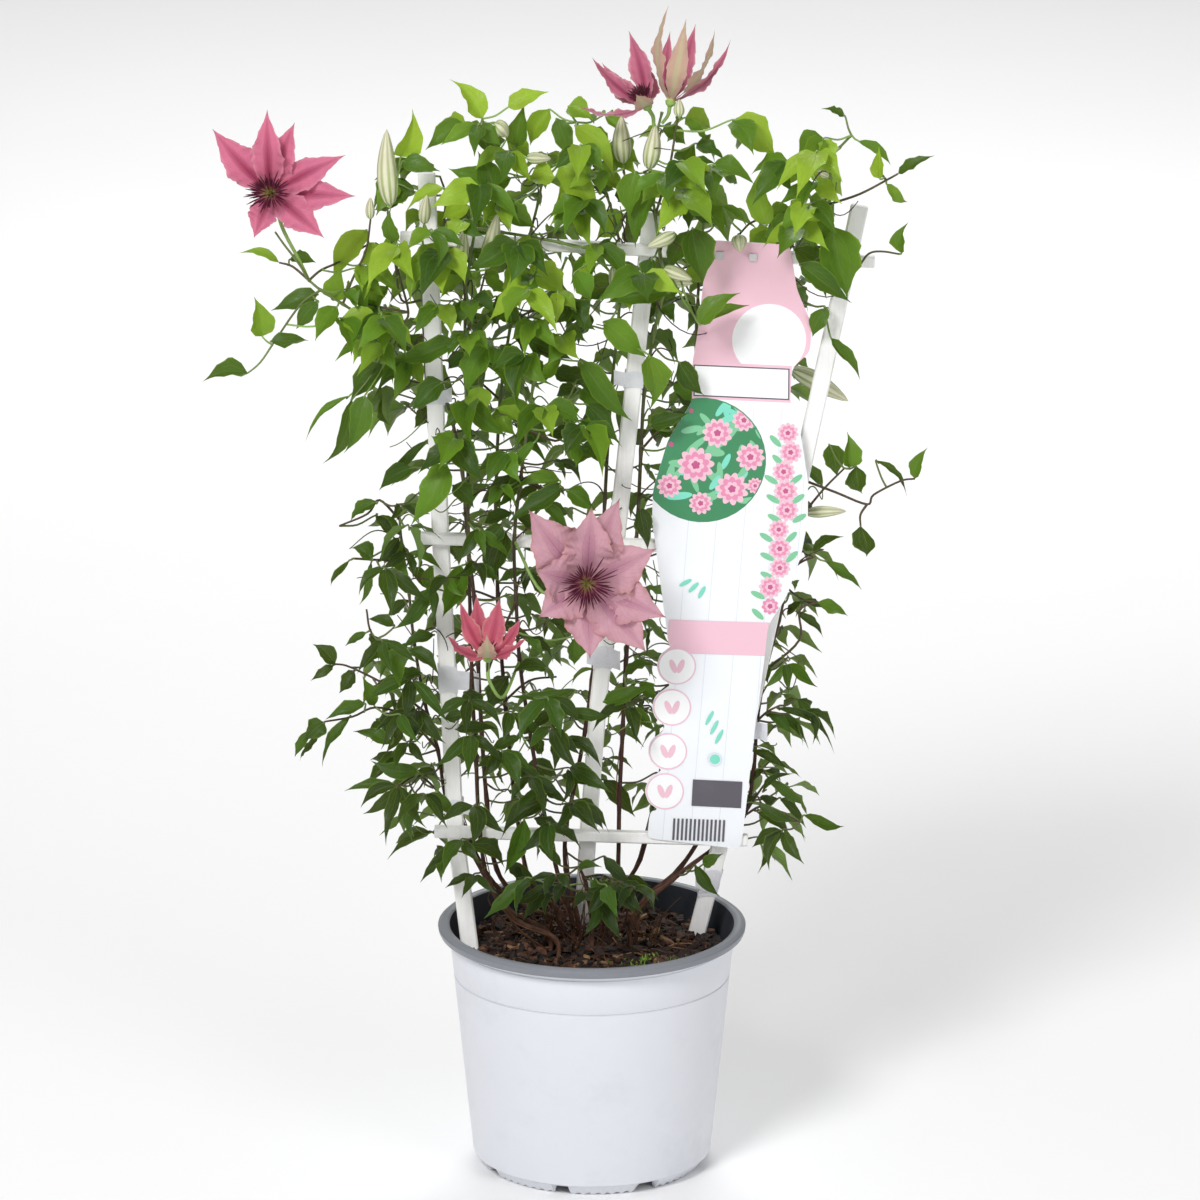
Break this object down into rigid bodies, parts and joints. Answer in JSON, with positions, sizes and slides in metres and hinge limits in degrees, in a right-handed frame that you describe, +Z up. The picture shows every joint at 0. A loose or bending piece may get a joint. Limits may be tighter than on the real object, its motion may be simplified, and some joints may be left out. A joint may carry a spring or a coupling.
{
  "type": "potted clematis",
  "caption": "Climbing clematis with pink star blooms on a white wooden fan trellis, in a filled white plastic nursery pot with a hanging plain label card.",
  "frame": {"origin": "centre of the flat pad under the pot's floor, on the level that the pot stands on", "axes": "+Z up along the pot's axis, -Y towards the viewer of the label card, +X to the viewer's right along the crossbars"},
  "size_m": [0.435, 0.19, 0.7292],
  "materials": {
    "pot_plastic": "white moulded plastic, slightly lavender, light scuffs",
    "potting_soil": "dark loose bark and peat, rough",
    "painted_wood": "white painted softwood strips",
    "tie_tape": "white tape",
    "label_card": null,
    "pin_plastic": "white plastic",
    "sepals": "soft velvety petals, rose pink",
    "stamens": "soft dark crimson",
    "foliage": "soft green leaves on thin stems"
  },
  "bodies": {
    "root": {"pot": "pot_plastic", "soil": "potting_soil", "upright_left": "painted_wood", "upright_middle": "painted_wood", "upright_right": "painted_wood", "crossbar_bottom": "painted_wood", "crossbar_middle": "painted_wood", "crossbar_top": "painted_wood", "tape_left_lower": "tie_tape", "tape_left_middle": "tie_tape", "tape_left_upper": "tie_tape", "tape_middle_lower": "tie_tape", "tape_middle_upper": "tie_tape", "tape_right_lower": "tie_tape", "tape_right_middle": "tie_tape", "label_card": "label_card", "card_pin_left": "pin_plastic", "card_pin_right": "pin_plastic", "bloom_left": "sepals", "stamens_left": "stamens", "bloom_front": "sepals", "stamens_front": "stamens", "bloom_low": "sepals", "stamens_low": "stamens", "bloom_top_left": "sepals", "stamens_top_left": "stamens", "bloom_top_right": "sepals", "stamens_top_right": "stamens", "vine_left_outer": "foliage", "vine_left": "foliage", "vine_left_top": "foliage", "vine_centre_left": "foliage", "vine_centre": "foliage", "vine_centre_right": "foliage", "vine_right": "foliage", "vine_right_top": "foliage", "vine_arch": "foliage", "vine_back_left": "foliage", "vine_back_right": "foliage", "basal_shoots": "foliage"}
  },
  "joints": []
}
